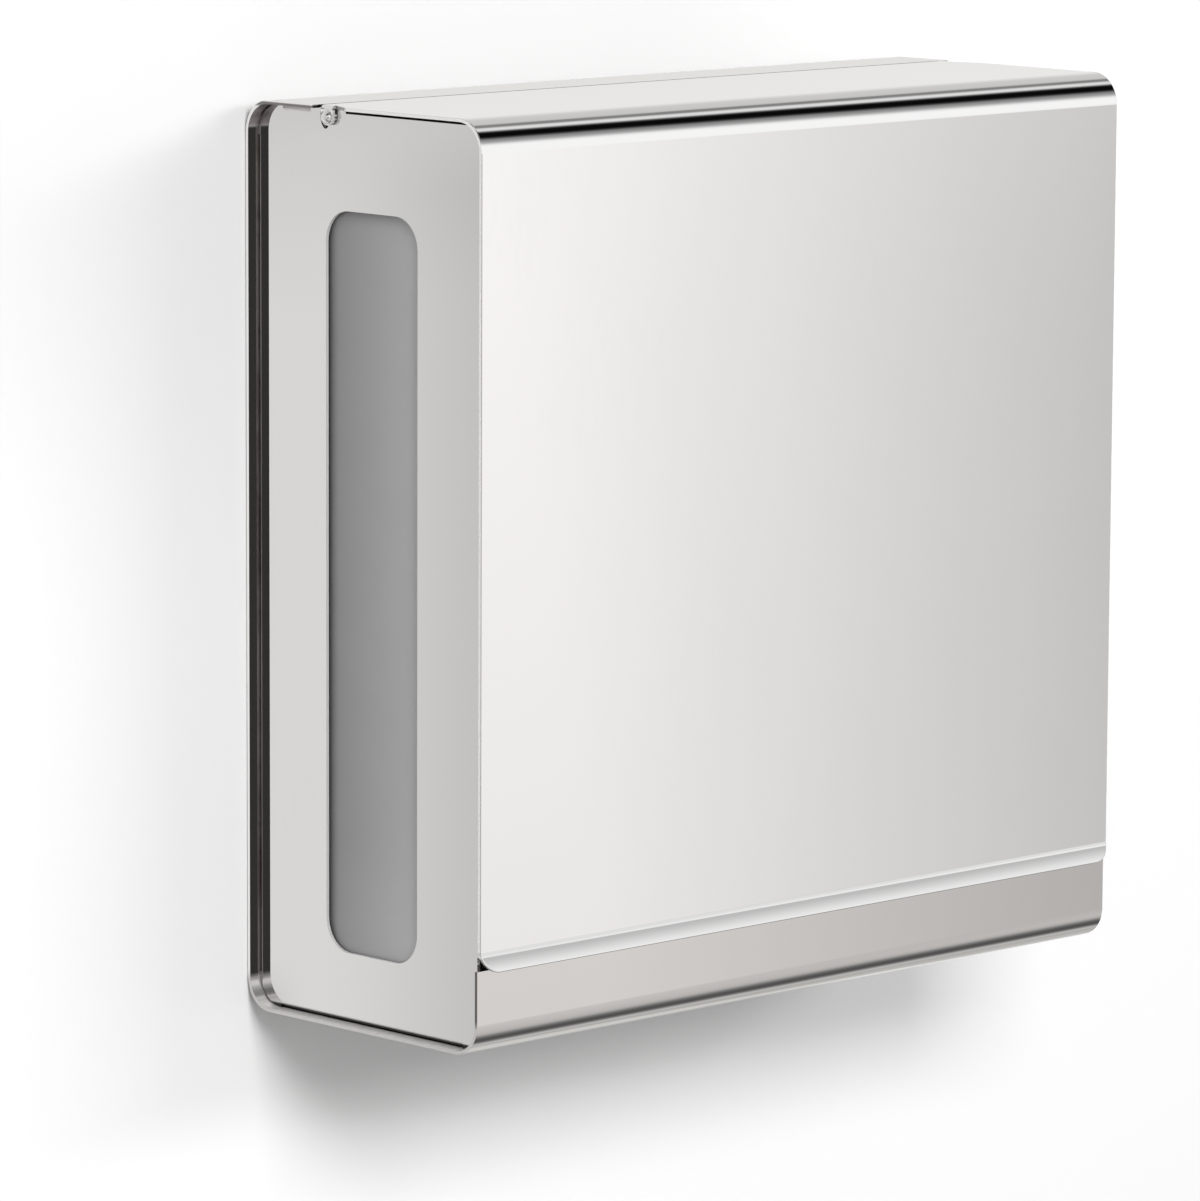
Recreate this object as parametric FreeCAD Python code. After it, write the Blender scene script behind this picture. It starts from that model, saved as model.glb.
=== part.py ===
import FreeCAD, Part
import math
import os

# Wall-hung folded paper towel dispenser in bent sheet steel.
# X runs along the front, -Y is the front, the wall is the plane Y = 0 and Z is up.
# The pieces are drawn with the case standing on Z = 0. saved() then lowers them by half
# the case height, so that the origin is the centre of the face that lies on the wall.
# Lengths are in millimetres. "Out" means away from the wall, towards -Y.

# Case: one sheet bent round back wall, top strip, bottom and front lip
case_width = 266.0
case_depth = 100.0
case_height = 270.0
case_sheet = 1.0
case_bend = 9.5
front_lip_height = 25.4

# Wall screw holes in the back wall
screw_hole_radius = 3.0
screw_spacing_across = 200.0
screw_spacing_up = 180.0

# Dispensing mouth in the bottom, with its edge turned up into the case
mouth_width = 190.0
mouth_depth = 46.0
mouth_back = 29.0
mouth_corner = 12.0
mouth_rim_height = 5.0
mouth_edge_round = 1.8

# Side panels, set in from the side edges of the case
side_inset = 4.0
panel_sheet = 1.0
panel_bend = 1.6
rear_bend = 1.1
flange_width = 12.0
top_flange_back = 12.0
top_flange_length = 12.0
hem_depth = 6.0
hem_slit = 0.2
step_above_lip = 3.1
step_setback = 3.3
panel_drop = 1.2
hinge_ear = 6.5

# Level window slot in each side panel
slot_back = 30.6
slot_width = 39.4
slot_bottom = 21.7
slot_top_margin = 30.3
slot_corner = 9.5

# Window pane behind the slot, on a foam gasket
gasket_width = 8.0
gasket_thickness = 0.8
pane_thickness = 1.5
pane_corner = 5.0
gasket_setback = 0.4

# Cover: one sheet bent over the top and down the front, with a flared grip lip
cover_sheet = 1.0
cover_bend = 9.5
cover_gap = 0.2
cover_clearance = 0.3
cover_edge_round = 0.35
seam_gap = 1.0
seam_bevel = 0.6
grip_bottom = 25.0
grip_angle = 22.4
grip_hollow_radius = 4.8
grip_round_radius = 70.0
grip_ease = 4.0
grip_corner = 6.2

# Hinge at each rear corner of the cover
pivot_back = 32.75
pivot_drop = 3.4
lug_width = 4.9
lug_inset = 2.4
lug_bend = 1.3
corner_slant = 8.4
rivet_shank_radius = 1.1
rivet_head_radius = 2.2
rivet_head_height = 1.6
rivet_tail_radius = 1.8
rivet_tail_height = 0.8
rivet_play = 0.1
running_clearance = 0.05
spacer_radius = 2.2
washer_radius = 2.3
washer_thickness = 0.5
swing_clearance = 0.33
swing_slot_end = -47.0

# Worked out from the sizes above
half_width = case_width / 2
panel_outer = half_width - side_inset
panel_inner = panel_outer - panel_sheet
lug_outer = half_width - lug_inset
pivot_height = case_height - pivot_drop
cover_rear = pivot_back - lug_width / 2
strip_front = cover_rear - seam_gap
cover_front = case_depth + cover_gap + cover_sheet
cover_inside = cover_front - cover_sheet
grip_start_slope = math.radians(grip_angle)
grip_end_slope = math.radians(grip_angle - grip_ease)
grip_top = (grip_bottom + grip_hollow_radius * math.sin(grip_start_slope)
            + grip_round_radius * (math.sin(grip_start_slope) - math.sin(grip_end_slope)))
grip_flare = (grip_hollow_radius * (1 - math.cos(grip_start_slope))
              + grip_round_radius * (math.cos(grip_end_slope) - math.cos(grip_start_slope)))
panel_front = cover_inside - cover_clearance
panel_top = case_height - cover_sheet - panel_drop
panel_corner = cover_bend - cover_sheet - cover_clearance
corner_end = case_sheet + case_bend
slot_top = case_height - slot_top_margin
slot_front = slot_back + slot_width
step_height = front_lip_height + step_above_lip

x_axis = FreeCAD.Vector(1, 0, 0)
y_axis = FreeCAD.Vector(0, 1, 0)
z_axis = FreeCAD.Vector(0, 0, 1)


def saved(name, shape):
    """Write one piece, in the frame whose origin is the centre of the wall face."""
    piece = shape.removeSplitter()
    piece.translate(FreeCAD.Vector(0, 0, -case_height / 2))
    piece.exportStep("parts/" + name + ".step")
    print(name, len(piece.Solids), round(piece.Volume, 1), piece.isValid())


def box(x_low, x_high, out_low, out_high, z_low, z_high):
    """A box given by its spans; the second pair is measured out from the wall."""
    corner = FreeCAD.Vector(x_low, -out_high, z_low)
    return Part.makeBox(x_high - x_low, out_high - out_low, z_high - z_low, corner)


def mirrored(shape):
    """The same piece for the other side of the case."""
    return shape.mirror(FreeCAD.Vector(0, 0, 0), x_axis)


def turned(heading):
    """The unit step along a heading in degrees."""
    return math.cos(math.radians(heading)), math.sin(math.radians(heading))


def traced(start, heading, steps, offset):
    """Edges along one face of a bent sheet, as lines and arcs in a plane.

    A step is ("line", length) or ("arc", radius, turn), with a left turn positive.
    The traced face lies offset to the left of the path that the steps describe.
    """
    across, up = start
    edges = []

    def face_point(p_across, p_up, p_heading):
        left_across, left_up = turned(p_heading + 90)
        return p_across + offset * left_across, p_up + offset * left_up

    for step in steps:
        first = face_point(across, up, heading)
        if step[0] == "line":
            go_across, go_up = turned(heading)
            across += step[1] * go_across
            up += step[1] * go_up
            edges.append((first, face_point(across, up, heading)))
            continue
        radius, turn = step[1], step[2]
        side = 90 if turn > 0 else -90
        to_across, to_up = turned(heading + side)
        centre = (across + radius * to_across, up + radius * to_up)
        points = []
        for share in (0.5, 1.0):
            back_across, back_up = turned(heading + share * turn - side)
            on_path = (centre[0] + radius * back_across, centre[1] + radius * back_up)
            points.append(face_point(on_path[0], on_path[1], heading + share * turn))
            if share == 1.0:
                across, up = on_path
        heading += turn
        edges.append((first, points[0], points[1]))
    return edges


def bent_sheet(start, heading, steps, thickness, to_point, run):
    """A sheet bent along the steps, its other face to the left, drawn out along run."""
    near = traced(start, heading, steps, 0.0)
    far = traced(start, heading, steps, thickness)
    edges = []
    for line in near + far:
        places = [to_point(across, up) for across, up in line]
        if len(places) == 2:
            edges.append(Part.makeLine(places[0], places[1]))
        else:
            edges.append(Part.Arc(places[0], places[1], places[2]).toShape())
    for index in (0, -1):
        cap_near = to_point(*near[index][index])
        cap_far = to_point(*far[index][index])
        edges.append(Part.makeLine(cap_near, cap_far))
    wire = Part.Wire(Part.__sortEdges__(edges))
    return Part.Face(wire).extrude(run)


def rounded_plate(x_low, thickness, back, front, bottom, top, corner):
    """A plate standing across X with four rounded corners."""
    plate = box(x_low, x_low + thickness, back, front, bottom, top)
    upright = [e for e in plate.Edges if abs(e.tangentAt(e.FirstParameter).x) > 0.99]
    return plate.makeFillet(corner, upright)


def across_cylinder(radius, x_low, x_high):
    """A cylinder on the pivot axis."""
    centre = FreeCAD.Vector(x_low, -pivot_back, pivot_height)
    return Part.makeCylinder(radius, x_high - x_low, centre, x_axis)


def mouth_prism(grow, z_low, z_high):
    """The dispensing mouth as a solid, grown by a margin all round."""
    block = box(-mouth_width / 2 - grow, mouth_width / 2 + grow,
                mouth_back - grow, mouth_back + mouth_depth + grow, z_low, z_high)
    upright = [e for e in block.Edges if abs(e.tangentAt(e.FirstParameter).z) > 0.99]
    return block.makeFillet(mouth_corner + grow, upright)


def loop_at(shape, height, grow):
    """The edges of a shape that follow the grown outline of the mouth at one height."""
    low = FreeCAD.Vector(-mouth_width / 2 - grow, -mouth_back - mouth_depth - grow, height)
    high = FreeCAD.Vector(mouth_width / 2 + grow, -mouth_back + grow, height)
    span = FreeCAD.BoundBox(low, high)
    span.enlarge(0.01)
    return [e for e in shape.Edges if span.isInside(e.BoundBox)]


def strip_bevel():
    """What the strip loses under its front edge, where the rear edge of the cover swings by."""
    low = case_height - case_sheet
    across = FreeCAD.Vector(-half_width, -strip_front, low)
    corners = [across, across + y_axis * seam_bevel, across + z_axis * seam_bevel, across]
    return Part.Face(Part.makePolygon(corners)).extrude(x_axis * case_width)


def case_wrap():
    """Back wall, top strip, bottom and front lip, with screw holes and rimmed mouth."""
    steps = [
        ("line", front_lip_height - case_bend),
        ("arc", case_bend, 90),
        ("line", case_depth - 2 * case_bend),
        ("arc", case_bend, 90),
        ("line", case_height - 2 * case_bend),
        ("arc", case_bend, 90),
        ("line", strip_front - case_bend),
    ]

    def to_point(across, up):
        return FreeCAD.Vector(-half_width, across, up)

    wrap = bent_sheet((-case_depth, front_lip_height), -90, steps, case_sheet,
                      to_point, x_axis * case_width)
    wrap = wrap.cut(strip_bevel())
    for side in (-1, 1):
        for level in (-1, 1):
            centre = FreeCAD.Vector(side * screw_spacing_across / 2, -2 * case_sheet,
                                    case_height / 2 + level * screw_spacing_up / 2)
            wrap = wrap.cut(Part.makeCylinder(screw_hole_radius, 3 * case_sheet, centre, y_axis))
    rim = mouth_prism(case_sheet, 0, mouth_rim_height)
    wrap = wrap.fuse(rim).cut(mouth_prism(0, -1, mouth_rim_height + 1)).removeSplitter()
    inner_round = mouth_edge_round - case_sheet
    wrap = wrap.makeFillet(inner_round, loop_at(wrap, case_sheet, case_sheet))
    return wrap.makeFillet(mouth_edge_round, loop_at(wrap, 0, 0))


def panel_web():
    """The flat of the left side panel, before its slot and flanges.

    Its edge is welded to the inside of the case. Its corners are rounder than the bends
    of the case. Ahead of the hinge its top edge drops away from the cover, and it stands
    back from the front lip.
    """
    x_low = -panel_outer
    low_part = rounded_plate(x_low, panel_sheet, case_sheet, case_depth - case_sheet,
                             case_sheet, case_height, case_bend)
    rear_part = rounded_plate(x_low, panel_sheet, case_sheet, panel_front,
                              case_sheet, case_height - case_sheet, case_bend)
    front_part = rounded_plate(x_low, panel_sheet, case_sheet, panel_front,
                               case_sheet, panel_top, panel_corner)
    ear = box(x_low, -panel_inner, pivot_back - 1, pivot_back + hinge_ear,
              panel_top - 1, case_height - cover_sheet - cover_clearance)
    below_step = box(x_low, -panel_inner, 0, case_depth, 0, step_height)
    behind_pivot = box(x_low, -panel_inner, 0, pivot_back, step_height, case_height)
    ahead_of_pivot = box(x_low, -panel_inner, pivot_back, cover_front, step_height, case_height)
    notch = box(x_low, -panel_inner, case_depth - case_sheet - step_setback, case_depth,
                corner_end, step_height)
    parts = [rear_part.common(behind_pivot), front_part.common(ahead_of_pivot), ear]
    return low_part.common(below_step).cut(notch).multiFuse(parts).removeSplitter()


def flange(start, heading, bend, run, to_point):
    """An edge bend of a side panel with its flange, drawn out along run."""
    steps = [("arc", bend, -90), ("line", flange_width - bend)]
    return bent_sheet(start, heading, steps, -panel_sheet, to_point, run)


def side_flanges():
    """Rear, bottom and top flanges of the left panel, turned into the case."""
    def rear_point(across, up):
        return FreeCAD.Vector(across, up, corner_end)

    rear = flange((-panel_outer, -case_sheet - rear_bend), 90, rear_bend,
                  z_axis * (case_height - 2 * corner_end), rear_point)

    def bottom_point(across, up):
        return FreeCAD.Vector(across, -case_depth + corner_end, -up)

    bottom = flange((-panel_outer, -case_sheet - panel_bend), 90, panel_bend,
                    y_axis * (case_depth - 2 * corner_end), bottom_point)

    def top_point(across, up):
        return FreeCAD.Vector(across, -top_flange_back - top_flange_length, up)

    top = flange((-panel_outer, case_height - case_sheet - panel_bend), 90, panel_bend,
                 y_axis * top_flange_length, top_point)
    return [rear, bottom, top]


def flange_seats():
    """What the flat of the left panel gives up where a flange bends away from it."""
    x_low = -panel_outer - 1
    x_high = -panel_inner + 1
    bend = case_sheet + panel_bend
    rear = box(x_low, x_high, 0, case_sheet + rear_bend, corner_end, case_height - corner_end)
    bottom = box(x_low, x_high, corner_end, case_depth - corner_end, 0, bend)
    top = box(x_low, x_high, top_flange_back, top_flange_back + top_flange_length,
              case_height - bend, case_height)
    return [rear, bottom, top]


def front_hem():
    """The front edge of the left panel folded flat inwards, a smooth edge for the hand."""
    radius = panel_sheet + hem_slit / 2
    steps = [
        ("line", hem_depth - radius),
        ("arc", radius, 180),
        ("line", hem_depth - radius),
    ]

    def to_point(across, up):
        return FreeCAD.Vector(up, -across, step_height)

    hem_length = panel_top - panel_corner - step_height
    return bent_sheet((panel_front - hem_depth, -panel_outer), 0, steps, panel_sheet,
                      to_point, z_axis * hem_length)


def swing_slot():
    """The curved slot behind the pivot that lets the rear edge of the cover swing by."""
    hub = pivot_drop - cover_sheet - cover_clearance
    reach = math.hypot(pivot_drop, lug_width / 2) + swing_clearance
    middle = (hub + reach) / 2
    x_low = -panel_outer - 1

    def place(radius, heading):
        across, up = turned(heading)
        return FreeCAD.Vector(x_low, radius * across - pivot_back, radius * up + pivot_height)

    half_way = (90 + swing_slot_end) / 2
    end_across, end_up = turned(swing_slot_end - 90)
    end_tip = place(middle, swing_slot_end) + FreeCAD.Vector(
        0, (reach - middle) * end_across, (reach - middle) * end_up)
    outer = Part.Arc(place(reach, 90), place(reach, half_way), place(reach, swing_slot_end))
    end = Part.Arc(place(reach, swing_slot_end), end_tip, place(hub, swing_slot_end))
    inner = Part.Arc(place(hub, swing_slot_end), place(hub, half_way), place(hub, 90))
    mouth = Part.makeLine(place(hub, 90), place(reach, 90))
    wire = Part.Wire([outer.toShape(), end.toShape(), inner.toShape(), mouth])
    return Part.Face(wire).extrude(x_axis * (panel_sheet + 2))


def side_panel():
    """The left side panel with slot, flanges, front hem and pivot hole."""
    web = panel_web()
    for seat in flange_seats():
        web = web.cut(seat)
    hem_zone = box(-panel_outer - 1, -panel_inner + 1, panel_front - hem_depth,
                   panel_front + 1, step_height, panel_top - panel_corner)
    web = web.cut(hem_zone)
    panel = web.multiFuse(side_flanges() + [front_hem()])
    slot = rounded_plate(-panel_outer - 1, panel_sheet + 2, slot_back, slot_front,
                         slot_bottom, slot_top, slot_corner)
    hole = across_cylinder(rivet_shank_radius + running_clearance,
                           -panel_outer - 1, -panel_inner + 1)
    return panel.cut(slot).cut(swing_slot()).cut(hole)


def window_gasket():
    """The foam frame between the left panel and its pane."""
    outer = rounded_plate(-panel_inner, gasket_thickness,
                          slot_back - gasket_width, slot_front + gasket_width,
                          slot_bottom - gasket_width, slot_top + gasket_width, pane_corner)
    inner = rounded_plate(-panel_inner - 1, gasket_thickness + 2,
                          slot_back - gasket_setback, slot_front + gasket_setback,
                          slot_bottom - gasket_setback, slot_top + gasket_setback,
                          slot_corner + gasket_setback)
    return outer.cut(inner)


def window_pane():
    """The frosted pane behind the left slot."""
    return rounded_plate(-panel_inner + gasket_thickness, pane_thickness,
                         slot_back - gasket_width, slot_front + gasket_width,
                         slot_bottom - gasket_width, slot_top + gasket_width, pane_corner)


def hinge_lug():
    """The left lug, bent down from the cover close beside the side panel, with its hole."""
    def to_point(across, up):
        return FreeCAD.Vector(across, -pivot_back - lug_width / 2, up)

    leg = pivot_drop - lug_bend
    steps = [("line", leg), ("arc", lug_bend, -90)]
    tab = bent_sheet((-lug_outer, pivot_height), 90, steps, -cover_sheet,
                     to_point, y_axis * lug_width)
    end = across_cylinder(lug_width / 2, -lug_outer, -lug_outer + cover_sheet)
    hole = across_cylinder(rivet_shank_radius + running_clearance,
                           -lug_outer - 1, -lug_outer + cover_sheet + 1)
    return tab.fuse(end).cut(hole)


def corner_relief():
    """What the cover sheet gives up at its left rear corner, round the lug and ahead of it."""
    low = case_height - cover_sheet - 1
    bend_line = -lug_outer + lug_bend
    lug_front = pivot_back + lug_width / 2
    plan = [
        (-half_width - 1, cover_rear - 1),
        (bend_line, cover_rear - 1),
        (bend_line, lug_front),
        (-half_width, lug_front + corner_slant),
        (-half_width - 1, lug_front + corner_slant),
    ]
    corners = [FreeCAD.Vector(x, -out, low) for x, out in plan + plan[:1]]
    return Part.Face(Part.makePolygon(corners)).extrude(z_axis * (cover_sheet + 2))


def grip_trim():
    """What is cut away under the grip lip and round its two lower corners."""
    reach = cover_front + grip_flare + cover_sheet
    trim = box(-half_width - 1, half_width + 1, cover_inside - 1, reach,
               grip_bottom - 2 * cover_sheet, grip_bottom + grip_corner)
    kept = box(-half_width, half_width, cover_inside - 2, reach + 1,
               grip_bottom, grip_bottom + 3 * grip_corner)
    lower = [e for e in kept.Edges
             if abs(e.tangentAt(e.FirstParameter).y) > 0.99 and e.BoundBox.ZMax < grip_bottom + 1]
    return trim.cut(kept.makeFillet(grip_corner, lower))


def cover():
    """The cover sheet with its grip lip, rounded lower corners and two hinge lugs."""
    steps = [
        ("line", cover_front - cover_rear - cover_bend),
        ("arc", cover_bend, 90),
        ("line", case_height - cover_bend - grip_top),
        ("arc", grip_hollow_radius, -grip_angle),
        ("arc", grip_round_radius, grip_ease),
        ("line", cover_sheet),
    ]
    start = (-cover_rear, case_height)

    def to_point(across, up):
        return FreeCAD.Vector(-half_width, across, up)

    sheet = bent_sheet(start, 180, steps, cover_sheet, to_point, x_axis * case_width)
    sheet = sheet.cut(grip_trim()).removeSplitter()
    side_edge = [e for e in sheet.Edges if e.BoundBox.XMax < 0.01 - half_width
                 and e.BoundBox.YMax < 0.01 - cover_front and e.Length > case_height / 2]
    # The round runs on from this edge along the whole smooth rim.
    sheet = sheet.makeFillet(cover_edge_round, side_edge)
    relief = corner_relief()
    sheet = sheet.cut(relief).cut(mirrored(relief))
    lug = hinge_lug()
    return sheet.multiFuse([lug, mirrored(lug)])


def hinge_rivet():
    """The left pivot rivet: domed head outside, shank, and tail formed inside the case."""
    head_base = -lug_outer - rivet_play
    tail_start = -panel_inner + washer_thickness
    shank = across_cylinder(rivet_shank_radius, head_base - 0.3, tail_start + 0.3)
    dome_radius = (rivet_head_radius ** 2 + rivet_head_height ** 2) / (2 * rivet_head_height)
    centre = FreeCAD.Vector(head_base - rivet_head_height + dome_radius,
                            -pivot_back, pivot_height)
    head = Part.makeSphere(dome_radius, centre).common(
        across_cylinder(rivet_head_radius, head_base - rivet_head_height - 1, head_base))
    tail = across_cylinder(rivet_tail_radius, tail_start, tail_start + rivet_tail_height)
    rim = [e for e in tail.Edges if e.BoundBox.XMin > tail_start + rivet_tail_height - 0.01]
    tail = tail.makeChamfer(rivet_tail_height / 2, rim)
    return head.multiFuse([shank, tail])


def hinge_spacer():
    """The thin ring that keeps the left lug off the side panel."""
    x_low = -lug_outer + cover_sheet + rivet_play
    ring = across_cylinder(spacer_radius, x_low, -panel_outer)
    return ring.cut(across_cylinder(rivet_shank_radius + running_clearance,
                                    x_low - 1, -panel_outer + 1))


def hinge_washer():
    """The washer under the tail of the left rivet."""
    x_high = -panel_inner + washer_thickness
    ring = across_cylinder(washer_radius, -panel_inner, x_high)
    return ring.cut(across_cylinder(rivet_shank_radius + running_clearance,
                                    -panel_inner - 1, x_high + 1))


os.makedirs("parts", exist_ok=True)
saved("case_wrap", case_wrap())
saved("cover", cover())
paired = {
    "side_panel": side_panel,
    "window_gasket": window_gasket,
    "window_pane": window_pane,
    "hinge_rivet": hinge_rivet,
    "hinge_spacer": hinge_spacer,
    "hinge_washer": hinge_washer,
}
for name, make in paired.items():
    left = make()
    saved(name + "_left", left)
    saved(name + "_right", mirrored(left))
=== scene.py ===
import math

import bpy
from mathutils import Matrix, Vector

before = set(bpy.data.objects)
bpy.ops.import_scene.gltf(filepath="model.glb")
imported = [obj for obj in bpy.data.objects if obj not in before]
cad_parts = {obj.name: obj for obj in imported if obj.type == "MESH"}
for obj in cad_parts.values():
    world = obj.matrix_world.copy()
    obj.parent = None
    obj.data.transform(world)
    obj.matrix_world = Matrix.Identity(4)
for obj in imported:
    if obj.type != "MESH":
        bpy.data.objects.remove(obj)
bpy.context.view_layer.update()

# Sizes of the dispenser that the finishes need, in metres. X runs along the front, the front
# faces -Y, and the back of the case lies on the wall at Y = 0 with its middle at Z = 0.
sheet = 0.001
case_width = 0.266
case_height = 0.270
case_depth = 0.100
case_bend = 0.0095
lip_height = 0.0254
side_inset = 0.004
panel_rear_bend = 0.0011
top_flange_rear = -0.012
top_flange_front = -0.024
slot_rear = -0.0306
slot_front = -0.0700
slot_low = -0.1133
slot_high = 0.1047
cover_rear = -0.0303
lug_width = 0.0049
lug_inset = 0.0024
grip_top = -0.1036

half_width = case_width / 2
half_height = case_height / 2
case_front = -case_depth
case_top = half_height
case_bottom = -half_height
lip_top = case_bottom + lip_height
panel_face = half_width - side_inset
panel_back = panel_face - sheet
panel_rear = -sheet - panel_rear_bend
lug_face = half_width - lug_inset
lug_front = cover_rear - lug_width

# The photograph's viewpoint, with angles in degrees and the lens and sensor in millimetres
camera_place = (-1.5308, -1.6053, 0.3060)
camera_heading = -43.847
camera_tilt = -8.518
camera_roll = 0.264
camera_lens = 219.01
camera_sensor = 36.0

# The room
room_half_width = 1.8
room_depth = 3.0
floor_height = -1.0
wall_top = 0.70
wall_gap = 0.0004


class Value:
    """A shader socket that takes part in sums. Each sum adds its Math nodes."""

    def __init__(self, tree, socket):
        self.tree = tree
        self.socket = socket

    def sum(self, operation, *terms):
        sockets = dict(enumerate(terms))
        return self.tree.node("Math", {"operation": operation}, sockets)[0]

    def __add__(self, other):
        return self.sum("ADD", self, other)

    __radd__ = __add__

    def __sub__(self, other):
        return self.sum("SUBTRACT", self, other)

    def __rsub__(self, other):
        return self.sum("SUBTRACT", other, self)

    def __mul__(self, other):
        return self.sum("MULTIPLY", self, other)

    __rmul__ = __mul__

    def __truediv__(self, other):
        return self.sum("DIVIDE", self, other)

    def __rtruediv__(self, other):
        return self.sum("DIVIDE", other, self)

    def __abs__(self):
        return self.sum("ABSOLUTE", self)

    def least(self, other):
        return self.sum("MINIMUM", self, other)

    def most(self, other):
        return self.sum("MAXIMUM", self, other)

    def angle_over(self, other):
        """The angle in degrees whose tangent is this value over the other."""
        return self.sum("ARCTAN2", self, other) * (180 / math.pi)

    def rise(self, low, high):
        """0 below low and 1 above high, with a soft step between them."""
        sockets = {"Value": self, "From Min": low, "From Max": high}
        return self.tree.node("MapRange", {"interpolation_type": "SMOOTHSTEP"}, sockets)[0]

    def fall(self, low, high):
        """1 below low and 0 above high."""
        return 1 - self.rise(low, high)


class Tree:
    """The nodes of one material, or of the world."""

    def __init__(self, owner):
        owner.use_nodes = True
        self.tree = owner.node_tree
        self.tree.nodes.clear()

    def node(self, kind, settings=None, sockets=None):
        """A new node's outputs. Settings come first, then its sockets' values or links."""
        made = self.tree.nodes.new("ShaderNode" + kind)
        for name, setting in (settings or {}).items():
            if name == "stops":
                elements = made.color_ramp.elements
                elements.remove(elements[1])
                elements[0].position, elements[0].color = setting[0]
                for place, colour in setting[1:]:
                    elements.new(place).color = colour
            else:
                setattr(made, name, setting)
        for name, given in (sockets or {}).items():
            if isinstance(given, Value):
                self.tree.links.new(given.socket, made.inputs[name])
            else:
                made.inputs[name].default_value = given
        return Outputs(self, made)

    def parts(self, vector):
        """A vector's X, Y and Z."""
        made = self.node("SeparateXYZ", {}, {0: vector})
        return made["X"], made["Y"], made["Z"]

    def blend(self, share, first, second):
        """One colour to another by a share."""
        sockets = {"Factor": share, 6: first, 7: second}
        return self.node("Mix", {"data_type": "RGBA"}, sockets)[2]

    def grey_of(self, level):
        """A grey whose lightness varies."""
        return self.node("CombineColor", {}, {"Red": level, "Green": level, "Blue": level})["Color"]

    def ramp(self, value, low, high, stops):
        """A value looked up between low and high in pairs of a place and a level up to 1.5."""
        places = [((place - low) / (high - low), grey(level / 1.5)) for place, level in stops]
        return self.node("ValToRGB", {"stops": places}, {"Fac": (value - low) / (high - low)})[0] * 1.5

    def scaled(self, colour, strength):
        """A colour times a value."""
        sockets = {"Factor": 1.0, 6: colour, 7: self.grey_of(strength)}
        return self.node("Mix", {"data_type": "RGBA", "blend_type": "MULTIPLY"}, sockets)[2]

    def glow(self, colour):
        """Light of a colour, given out by a surface."""
        return self.node("Emission", {}, {"Color": colour, "Strength": 1.0})["Emission"]

    def show_front(self, shader):
        """Closes a backdrop's material: it shows from its front and is clear from behind."""
        clear = self.node("BsdfTransparent")["BSDF"]
        behind = self.node("NewGeometry")["Backfacing"]
        sides = self.node("MixShader", {}, {0: behind, 1: shader, 2: clear})["Shader"]
        self.node("OutputMaterial", {}, {"Surface": sides})


class Outputs:
    """The outputs of a node by name or number, each as a Value."""

    def __init__(self, tree, made):
        self.tree = tree
        self.made = made

    def __getitem__(self, name):
        return Value(self.tree, self.made.outputs[name])


def grey(level):
    return (level, level, level, 1.0)


# Camera


def camera():
    """The photograph's viewpoint: from the front left, a little above, with a long lens."""
    heading = math.radians(camera_heading)
    tilt = math.radians(camera_tilt)
    roll = math.radians(camera_roll)
    ahead = Vector((-math.sin(heading) * math.cos(tilt), math.cos(heading) * math.cos(tilt),
                    math.sin(tilt)))
    right = Vector((math.cos(heading), math.sin(heading), 0.0))
    up = right.cross(ahead)
    level_right = right * math.cos(roll) + up * math.sin(roll)
    level_up = up * math.cos(roll) - right * math.sin(roll)
    data = bpy.data.cameras.new("camera")
    data.lens = camera_lens
    data.sensor_width = camera_sensor
    data.sensor_fit = "HORIZONTAL"
    data.clip_start = 0.05
    data.clip_end = 30.0
    made = bpy.data.objects.new("camera", data)
    turn = Matrix((level_right, level_up, -ahead)).transposed().to_4x4()
    made.matrix_world = Matrix.Translation(camera_place) @ turn
    bpy.context.scene.collection.objects.link(made)
    bpy.context.scene.camera = made


# Studio


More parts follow.
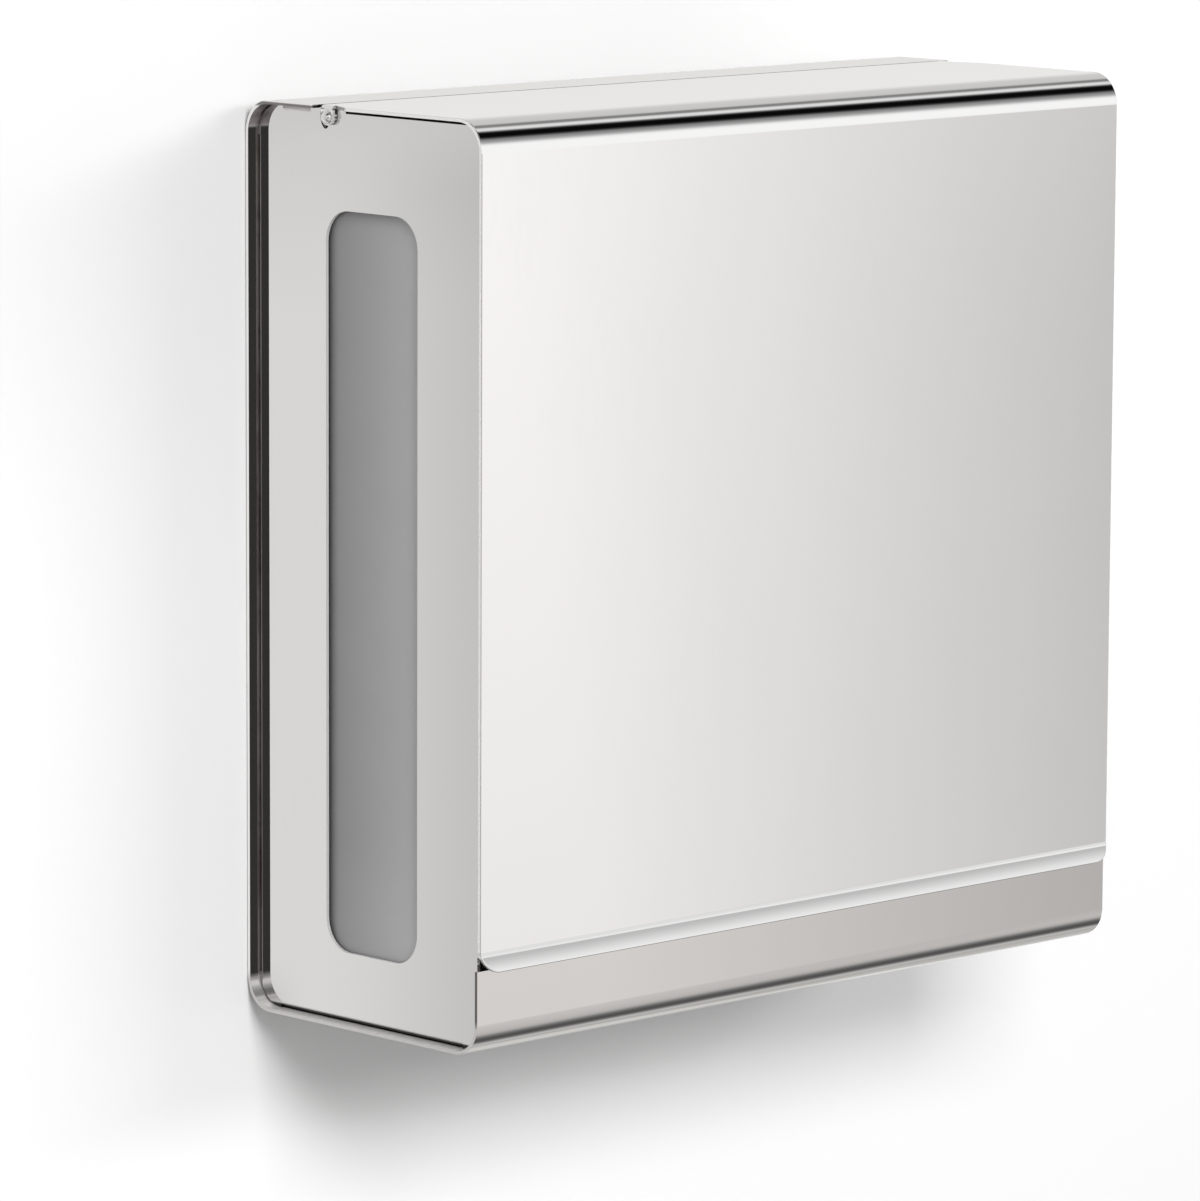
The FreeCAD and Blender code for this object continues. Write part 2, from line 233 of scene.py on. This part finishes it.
def studio_world():
    """A soft studio round the dispenser: bright in front, a dark gap, bright overhead.

    The polished steel mirrors it. Most of it is a ring of light levels by the angle over the
    front, from below to overhead. The photograph's view mirrors the part of the ring whose
    sideways share lies between 0.67 and 0.73.
    """
    world = bpy.data.worlds.new("studio")
    bpy.context.scene.world = world
    tree = Tree(world)
    direction = tree.node("TexCoord")["Generated"]
    across, away, up = tree.parts(direction)
    angle = up.angle_over(-1 * away)
    sideways = abs(across)
    path = tree.node("LightPath")
    ring = tree.ramp(angle, -180, 180, [
        (-180, 0.85), (-130, 0.60), (-100, 0.95), (-92, 0.78), (-83, 0.30), (-76, 0.13), (-66, 0.17),
        (-58, 0.36), (-50, 0.72), (-42, 0.86), (-28, 0.92), (-16, 1.03), (-7, 1.20), (-1, 1.26),
        (5, 1.30), (17, 1.30), (23, 1.15), (29, 0.68), (35, 0.43), (41, 0.31), (47, 0.055),
        (52, 0.004), (66, 0.005), (71, 0.13), (76, 0.86), (80, 1.05), (85, 0.94), (91, 0.32),
        (99, 0.30), (102, 0.80), (180, 0.85),
    ])

    # The light in front of the cover falls off sideways, and is softer square to the front.
    front = angle.rise(-40, -12) * angle.fall(-10, 6)
    front_fall = 1.12 - 7.6 * ((sideways - 0.680).most(0).least(0.062))
    ring = ring * (1 + front * (front_fall - 1))
    centre = sideways.fall(0.45, 0.62) * front
    ring = ring * (1 - centre * (0.24 - 0.02 * angle.most(-6).least(6)))

    # The dark gaps are weaker to both sides of the photograph's view.
    beside = sideways.fall(0.45, 0.63).most(sideways.rise(0.77, 0.85))
    ring = ring.most(beside * (0.26 + 0.20 * angle.fall(-40, -20)))
    end_glow = sideways.rise(0.80, 0.96)
    ring = ring * (1 - end_glow) + 0.75 * end_glow

    # It is dark low on the photographer's side, where the set-in corners of the case look.
    toward = tree.node("VectorMath", {"operation": "DOT_PRODUCT"},
                       {0: direction, 1: (-0.685, -0.713, -0.148)})["Value"]
    shade = toward.rise(0.970, 0.990)
    ring = ring * (1 - shade) + 0.08 * shade

    # Mirrored at full level, a little dimmer as room light, and white where the camera sees it.
    level = ring * (0.82 + 0.18 * path["Is Glossy Ray"])
    level = level * (1 - path["Is Camera Ray"]) + path["Is Camera Ray"]
    warmth = angle.rise(-60, -35) * angle.fall(-8, 2) * path["Is Glossy Ray"]
    colour = tree.scaled(tree.blend(warmth, grey(1.0), (1.0, 0.982, 0.966, 1.0)), level)
    glow = tree.node("Background", {}, {"Color": colour, "Strength": 1.0})
    tree.node("OutputWorld", {}, {"Surface": glow["Background"]})


def wall():
    """The pale wall, open behind the case, seen only from the front.

    The steel mirrors it at levels of its own, which carry the soft shadows near the case.
    """
    side = room_half_width
    hole_side = half_width - 0.0005
    hole_top = half_height - 0.0098
    outer = ((-side, floor_height), (side, floor_height), (side, wall_top), (-side, wall_top))
    inner = ((-hole_side, -hole_top), (hole_side, -hole_top), (hole_side, hole_top), (-hole_side, hole_top))
    points = [(x, wall_gap, z) for x, z in outer + inner]
    faces = [(i, (i + 1) % 4, (i + 1) % 4 + 4, i + 4) for i in range(4)]
    mesh = bpy.data.meshes.new("wall")
    mesh.from_pydata(points, [], faces)
    made = bpy.data.objects.new("wall", mesh)
    bpy.context.scene.collection.objects.link(made)

    material = bpy.data.materials.new("wall paint")
    tree = Tree(material)
    x, y, z = tree.parts(tree.node("NewGeometry")["Position"])
    path = tree.node("LightPath")
    # Painted shade: the wall's paint is darker towards the upper left, over and beside the case.
    paint = 0.75 * (1 - 0.10 * z.rise(-0.04, 0.12) * x.fall(0.02, 0.16))
    painted = tree.node("BsdfDiffuse", {}, {"Color": tree.grey_of(paint)})["BSDF"]
    level = tree.ramp(z, -0.5, 0.8, [
        (-0.5, 0.90), (-0.25, 0.92), (-0.16, 1.04), (0.07, 1.04), (0.12, 0.95),
        (0.135, 0.88), (0.17, 0.95), (0.23, 0.80), (0.45, 0.78), (0.54, 0.66),
        (0.62, 0.42), (0.69, 0.32),
    ])
    sideways = abs(x)
    beside = sideways.rise(0.150, 0.232) * z.fall(0.10, 0.14)
    under = sideways.fall(0.11, 0.15) * z.rise(-0.28, -0.15) * z.fall(-0.14, -0.12)
    level = level * (1 - 0.22 * beside) * (1 - 0.5 * under)
    mirrored = tree.glow(tree.scaled((1.0, 0.992, 0.972, 1.0), level))
    in_steel = path["Is Glossy Ray"] * (1 - path["Diffuse Depth"].least(1))
    tree.show_front(tree.node("MixShader", {}, {0: in_steel, 1: painted, 2: mirrored})["Shader"])
    mesh.materials.append(material)


def floor():
    """The pale floor, a metre below."""
    side = room_half_width
    corners = ((-side, -room_depth), (side, -room_depth), (side, 0.0), (-side, 0.0))
    mesh = bpy.data.meshes.new("floor")
    mesh.from_pydata([(x, y, floor_height) for x, y in corners], [], [(0, 1, 2, 3)])
    made = bpy.data.objects.new("floor", mesh)
    made.visible_glossy = False
    bpy.context.scene.collection.objects.link(made)

    material = bpy.data.materials.new("floor paint")
    tree = Tree(material)
    seen = tree.node("LightPath")["Is Camera Ray"]
    painted = tree.node("BsdfDiffuse", {}, {"Color": grey(0.35)})["BSDF"]
    lift = tree.glow(tree.grey_of(seen * 0.72))
    tree.show_front(tree.node("AddShader", {}, {0: painted, 1: lift})["Shader"])
    mesh.materials.append(material)


def soft_lamp(name, place, width, height, power):
    """A large soft lamp that faces the dispenser."""
    data = bpy.data.lights.new(name, "AREA")
    data.shape = "RECTANGLE"
    data.size = width
    data.size_y = height
    data.energy = power
    made = bpy.data.objects.new(name, data)
    made.location = place
    made.rotation_mode = "QUATERNION"
    made.rotation_quaternion = (-Vector(place)).to_track_quat("-Z", "Y")
    made.visible_glossy = False
    bpy.context.scene.collection.objects.link(made)


# Finishes


def finish_tree(name):
    """A new material with its tree and the place on the piece."""
    material = bpy.data.materials.new(name)
    tree = Tree(material)
    return material, tree, tree.node("TexCoord")["Object"]


def noise(tree, place, scale, stretch=(1.0, 1.0, 1.0), detail=2.0, rough=0.5):
    """Soft noise from 0 to 1, with scale in lumps per metre."""
    spot = tree.node("VectorMath", {"operation": "MULTIPLY"}, {0: place, 1: stretch})["Vector"]
    sockets = {"Vector": spot, "Scale": scale, "Detail": detail, "Roughness": rough}
    return tree.node("TexNoise", {}, sockets)[0]


def finished(tree, material, colour, metallic, rough, heights):
    """Closes a material: one glossy shader, with one bump after another for its normal.

    Heights are pairs of a pattern and its depth in metres.
    """
    normal = None
    for height, depth in heights:
        sockets = {"Height": height, "Strength": 1.0, "Distance": depth}
        if normal is not None:
            sockets["Normal"] = normal
        normal = tree.node("Bump", {}, sockets)["Normal"]
    sockets = {"Base Color": colour, "Metallic": metallic, "Roughness": rough, "Normal": normal}
    shader = tree.node("BsdfPrincipled", {}, sockets)["BSDF"]
    tree.node("OutputMaterial", {}, {"Surface": shader})
    return material


def steel_tint(tone, warm):
    """The colour of clean steel: a lightness, with less green and blue as it gets warmer."""
    return (tone, tone * (1 - warm * 0.6), tone * (1 - warm), 1.0)


def polished_steel(name, tone, warm, **masks):
    """Bright sheet steel: faint polishing lines and hand smudges, with the places named in masks.

    Each mask is a function of the tree, the place and the way the surface faces, from 0 to 1:
    inside is the duller inner face, the dust mask a recess darkened with dust and painted shade,
    cut the sheared edge of the sheet, the lighter mask a dressed weld or a worn place made lighter,
    partly as painted light, and shaded a bend darkened as painted shade.
    """
    material, tree, place = finish_tree(name)
    facing = tree.node("TexCoord")["Normal"]
    inner, dusty, sheared, matt, shaded = [
        masks.get(kind, nowhere)(tree, place, facing)
        for kind in ("inside", "dusty", "cut", "matt", "shaded")
    ]
    smudge = noise(tree, place, 16, detail=4.0, rough=0.6).rise(0.50, 0.72)
    prints = noise(tree, place, 420, stretch=(1.0, 1.0, 0.35), detail=1.0)
    smear = smudge * prints.rise(0.35, 0.75)
    waves = noise(tree, place, 11, detail=1.0)
    lines = noise(tree, place, 60, stretch=(0.6, 0.6, 55.0), detail=3.0, rough=0.7)
    grain = noise(tree, place, 2600, detail=1.0)
    dust = noise(tree, place, 90, stretch=(1.0, 1.0, 0.3), detail=5.0, rough=0.7)
    shear = noise(tree, place, 900, stretch=(1.0, 0.08, 0.08), detail=2.0)

    clean = steel_tint(tone, warm)
    dull = steel_tint(tone * 0.84, warm)
    grime_and_shade = (0.105, 0.078, 0.068, 1.0)
    # Lighter than clean steel: a worn finish, and painted light on shaded bends.
    rubbed_and_painted_light = (tone * 1.25, tone * 1.22, tone * 1.19, 1.0)
    sawn = (0.80, 0.79, 0.78, 1.0)
    # Dark brown painted shade for cut edges that the room's light hardly reaches.
    edge_shade = (0.05, 0.042, 0.039, 1.0)
    colour = tree.blend(smear * 0.05 + lines * 0.03, clean, dull)
    colour = tree.blend(inner * 0.7, colour, dull)
    # Recesses take a dark brown colour: dust streaks, and painted shade.
    colour = tree.blend(dusty * (0.7 + dust.rise(0.42, 0.62) * 0.3), colour, grime_and_shade)
    # A lighter dull colour: worn on the lugs, painted light on the panel's top bend and the case's bottom
    # strip.
    colour = tree.blend(matt * (0.85 + grain * 0.15), colour, rubbed_and_painted_light)
    # Cut edges: sawn steel, turned dark as painted shade where the room's light hardly reaches.
    colour = tree.blend(sheared, colour, tree.blend(cut_edges_in_shade(tree, place), sawn, edge_shade))
    # Painted shade: the shaded mask darkens its bends.
    colour = tree.scaled(colour, 1 - shaded)
    rough = 0.012 + smear * 0.03 + smudge * 0.006 + lines * 0.010 + dusty * 0.3
    rough = rough + inner * 0.26 + sheared * 0.28 + matt * 0.3
    metallic = 1 - (sheared * 0.5).most(dusty * 0.6).most(matt * 0.6)
    heights = [
        (waves, 0.00006),
        (lines, 0.0000012),
        (grain * (1 + inner * 5), 0.0000006),
        (shear * sheared, 0.00002),
    ]
    return finished(tree, material, colour, metallic, rough, heights)


def cut_edges_in_shade(tree, place):
    """Cut edges that the light of the room hardly reaches, darkened as painted shade: under the roof and at
    the lip, and less along the bottom.
    """
    x, y, z = tree.parts(place)
    in_roof = z.rise(case_top - 0.0020, case_top - 0.0012) * z.fall(case_top - 0.0004, case_top - 0.0001)
    roof = 0.82 * in_roof * y.rise(cover_rear + 0.0001, cover_rear + 0.0005)
    in_lip = z.rise(case_bottom + 0.0065, case_bottom + 0.0110) * z.fall(lip_top + 0.0006, lip_top + 0.0016)
    lip = 0.92 * in_lip * y.fall(case_front + 0.0020, case_front + 0.0040)
    bottom = 0.35 * z.fall(case_bottom + 0.0080, case_bottom + 0.0120)
    return roof.most(lip).most(bottom)


def nowhere(tree, place, facing):
    return 0.0


def sheet_edge(tree, place, facing):
    """The cut edges of the sheet at both sides of the case and the cover."""
    x, y, z = tree.parts(place)
    face_x, face_y, face_z = tree.parts(facing)
    return abs(x).rise(half_width - 0.0004, half_width - 0.0002) * abs(face_x).rise(0.8, 0.95)


def into_case(tree, place, facing):
    """The faces of the case sheet that look towards the middle of the case."""
    x, y, z = tree.parts(place)
    face_x, face_y, face_z = tree.parts(facing)
    inward = 0 - (face_y * (y + case_depth / 2) / (case_depth / 2) + face_z * z / half_height)
    return inward.rise(0.2, 0.5)


def case_inside(tree, place, facing):
    """The faces of the case sheet that look into the case, between the side panels."""
    x, y, z = tree.parts(place)
    return into_case(tree, place, facing) * abs(x).fall(panel_back, panel_face)


def beside_panel(tree, place, facing):
    """The inner faces of the case sheet outside the side panels."""
    x, y, z = tree.parts(place)
    return into_case(tree, place, facing) * abs(x).rise(panel_back, panel_face)


def case_corner(tree, place, facing):
    """The upper rear corner of the strip that stands out beside a side panel, darkened with dust and painted
    shade.
    """
    x, y, z = tree.parts(place)
    corner = z.rise(case_top - 0.0088, case_top - 0.0070) * y.rise(-case_bend - 0.0030, -case_bend)
    return beside_panel(tree, place, facing) * corner


def case_sill(tree, place, facing):
    """The bottom strip and its rear corner that stand out beside a side panel, made lighter: a worn finish,
    and painted light where the bend would mirror a dark band.
    """
    x, y, z = tree.parts(place)
    corner = z.fall(case_bottom + 0.0088, case_bottom + 0.0105) * y.rise(-case_bend - 0.0030, -case_bend)
    sill = z.fall(case_bottom + 0.0015, case_bottom + 0.0025)
    return beside_panel(tree, place, facing) * sill.most(0.5 * corner)


def cover_inside(tree, place, facing):
    """The faces of the cover that look into the case."""
    face_x, face_y, face_z = tree.parts(facing)
    return (face_y - face_z).rise(0.15, 0.35)


def cover_recess(tree, place, facing):
    """The upright strip of the cover's inner face that stands out beside a side panel, darkened with dust
    and painted shade.
    """
    x, y, z = tree.parts(place)
    inner = cover_inside(tree, place, facing) * z.fall(case_top - 0.0150, case_top - 0.0090)
    return inner * abs(x).rise(panel_back, panel_face) * 0.9


def cover_lug(tree, place, facing):
    """The outer faces of the hinge lugs, worn dull."""
    x, y, z = tree.parts(place)
    face_x, face_y, face_z = tree.parts(facing)
    along = y.rise(lug_front - 0.0010, lug_front - 0.0004) * y.fall(cover_rear + 0.0007, cover_rear + 0.0013)
    height = z.rise(case_top - 0.0170, case_top - 0.0160) * z.fall(case_top - 0.0015, case_top - sheet)
    return along * height * face_z.fall(0.75, 0.95)


def grip_hollow(tree, place, facing):
    """The hollow above the grip lip, darkened a little as painted shade."""
    x, y, z = tree.parts(place)
    hollow = z.rise(grip_top - 0.0017, grip_top - 0.0011) * z.fall(grip_top - 0.0004, grip_top)
    return 0.2 * hollow * y.fall(case_front - 0.0005, case_front)


def panel_crease(tree, place, facing):
    """The rear bend of a side panel, down in the gap beside the case wall, darkened as painted shade with
    dust streaks.
    """
    x, y, z = tree.parts(place)
    return 0.9 * y.rise(panel_rear - 0.0002, panel_rear + 0.0002)


def panel_foot(tree, place, facing):
    """The bottom bend of a side panel, in the dark above the case bottom, darkened as painted shade."""
    x, y, z = tree.parts(place)
    return 0.93 * z.fall(case_bottom + 0.0020, case_bottom + 0.0025)


def panel_weld(tree, place, facing):
    """The dressed top bend of a side panel, made lighter as painted light where the roof leaves it in shade.
    """
    x, y, z = tree.parts(place)
    front = y.rise(top_flange_front - 0.0003, top_flange_front)
    rear = y.fall(top_flange_rear, top_flange_rear + 0.0003)
    return 1.3 * z.rise(case_top - 0.0029, case_top - 0.0024) * front * rear


def panel_inside(tree, place, facing):
    """The hidden side of a side panel, with its flanges."""
    x, y, z = tree.parts(place)
    return abs(x).fall(panel_back + 0.0002, panel_face - 0.0002)


def slot_edge(tree, place, facing):
    """The cut edge of the window slot in a side panel."""
    x, y, z = tree.parts(place)
    face_x, face_y, face_z = tree.parts(facing)
    along = y.rise(slot_front - 0.0004, slot_front - 0.0002) * y.fall(slot_rear, slot_rear + 0.0004)
    height = z.rise(slot_low - 0.0006, slot_low - 0.0002) * z.fall(slot_high, slot_high + 0.0004)
    through = abs(face_x).fall(0.3, 0.6) * abs(x).rise(panel_back - 0.0005, panel_back)
    return along * height * through


def frosted_pane():
    """Frosted acrylic with painted shade: darker along its rear and top edges, where the foam frame stands
    behind them, and darker towards the rear; painted light makes it lighter near the bottom.
    """
    material, tree, place = finish_tree("frosted acrylic")
    x, y, z = tree.parts(place)
    from_rear = slot_rear - y
    from_top = slot_high - z
    across = from_rear / (slot_rear - slot_front)
    # Painted shade along the rear and top edges.
    shaded = from_rear.fall(0.0, 0.004) * 0.35 + from_top.fall(0.0, 0.006) * 0.15
    frost = noise(tree, place, 1500, detail=3.0, rough=0.7)
    cloud = noise(tree, place, 45, detail=3.0)
    # Painted shade: darker towards the rear of the slot.
    level = 0.208 + 0.166 * across.most(0).least(1) + (frost - 0.5) * 0.03 + (cloud - 0.5) * 0.02
    # Painted light: lighter near the bottom of the slot.
    level = level * (1 + 0.09 * z.fall(slot_low + 0.0083, slot_low + 0.0383))
    colour = tree.scaled((1.0, 1.0, 1.015, 1.0), level * (1 - shaded))
    rough = 0.42 + frost * 0.12
    return finished(tree, material, colour, 0.0, rough, [(frost, 0.00001)])


def gasket_foam():
    """Black closed-cell foam with open cut cells."""
    material, tree, place = finish_tree("black foam")
    cells = tree.node("TexVoronoi", {}, {"Vector": place, "Scale": 2200.0})["Distance"]
    cloud = noise(tree, place, 200)
    colour = tree.blend(cells, grey(0.012), grey(0.035))
    rough = 0.85 + cloud * 0.1
    return finished(tree, material, colour, 0.0, rough, [(cells, 0.00012)])


def rivet_steel():
    """Bright headed rivets, a little scuffed on the crown."""
    material, tree, place = finish_tree("rivet steel")
    x, y, z = tree.parts(place)
    scuff = noise(tree, place, 900, detail=4.0, rough=0.7).rise(0.5, 0.7)
    crown = scuff * abs(x).rise(lug_face + 0.0006, lug_face + 0.0014)
    colour = tree.blend(crown * 0.4, (0.70, 0.70, 0.69, 1.0), (0.55, 0.54, 0.52, 1.0))
    rough = 0.16 + crown * 0.12
    return finished(tree, material, colour, 1.0, rough, [(crown, 0.000004)])


def sleeve_steel():
    """Bright turned steel ring with fine lathe lines."""
    material, tree, place = finish_tree("sleeve steel")
    lines = noise(tree, place, 400, stretch=(12.0, 1.0, 1.0))
    colour = tree.blend(lines, (0.60, 0.60, 0.59, 1.0), (0.68, 0.68, 0.67, 1.0))
    return finished(tree, material, colour, 1.0, 0.10 + lines * 0.06, [(lines, 0.000003)])


def plated_washer():
    """Plain plated washer with tumbling marks."""
    material, tree, place = finish_tree("plated washer")
    marks = noise(tree, place, 1400, detail=4.0, rough=0.7)
    colour = tree.blend(marks, (0.52, 0.53, 0.55, 1.0), (0.66, 0.66, 0.66, 1.0))
    return finished(tree, material, colour, 1.0, 0.25 + marks * 0.2, [(marks, 0.000008)])


def dress():
    """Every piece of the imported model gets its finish."""
    cover_steel = polished_steel("cover steel", 0.70, 0.006, inside=cover_inside, dusty=cover_recess,
                                 cut=sheet_edge, matt=cover_lug, shaded=grip_hollow)
    case_steel = polished_steel("case steel", 0.56, 0.045, inside=case_inside, dusty=case_corner,
                                cut=sheet_edge, matt=case_sill)
    panel_steel = polished_steel("panel steel", 0.65, 0.006, inside=panel_inside, cut=slot_edge,
                                 dusty=panel_crease, matt=panel_weld, shaded=panel_foot)
    finishes = {
        "case_wrap": case_steel,
        "cover": cover_steel,
        "side_panel": panel_steel,
        "window_gasket": gasket_foam(),
        "window_pane": frosted_pane(),
        "hinge_rivet": rivet_steel(),
        "hinge_spacer": sleeve_steel(),
        "hinge_washer": plated_washer(),
    }
    for name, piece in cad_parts.items():
        kind = name.replace("_left", "").replace("_right", "")
        for slot in piece.material_slots:
            slot.material = finishes[kind]


bpy.context.scene.view_settings.view_transform = "Standard"
camera()
studio_world()
wall()
floor()
soft_lamp("key lamp", place=(-0.83, -2.2, 1.11), width=1.20, height=0.68, power=53.0)
soft_lamp("fill lamp", place=(1.16, -2.2, 0.65), width=1.45, height=0.37, power=17.5)
dress()
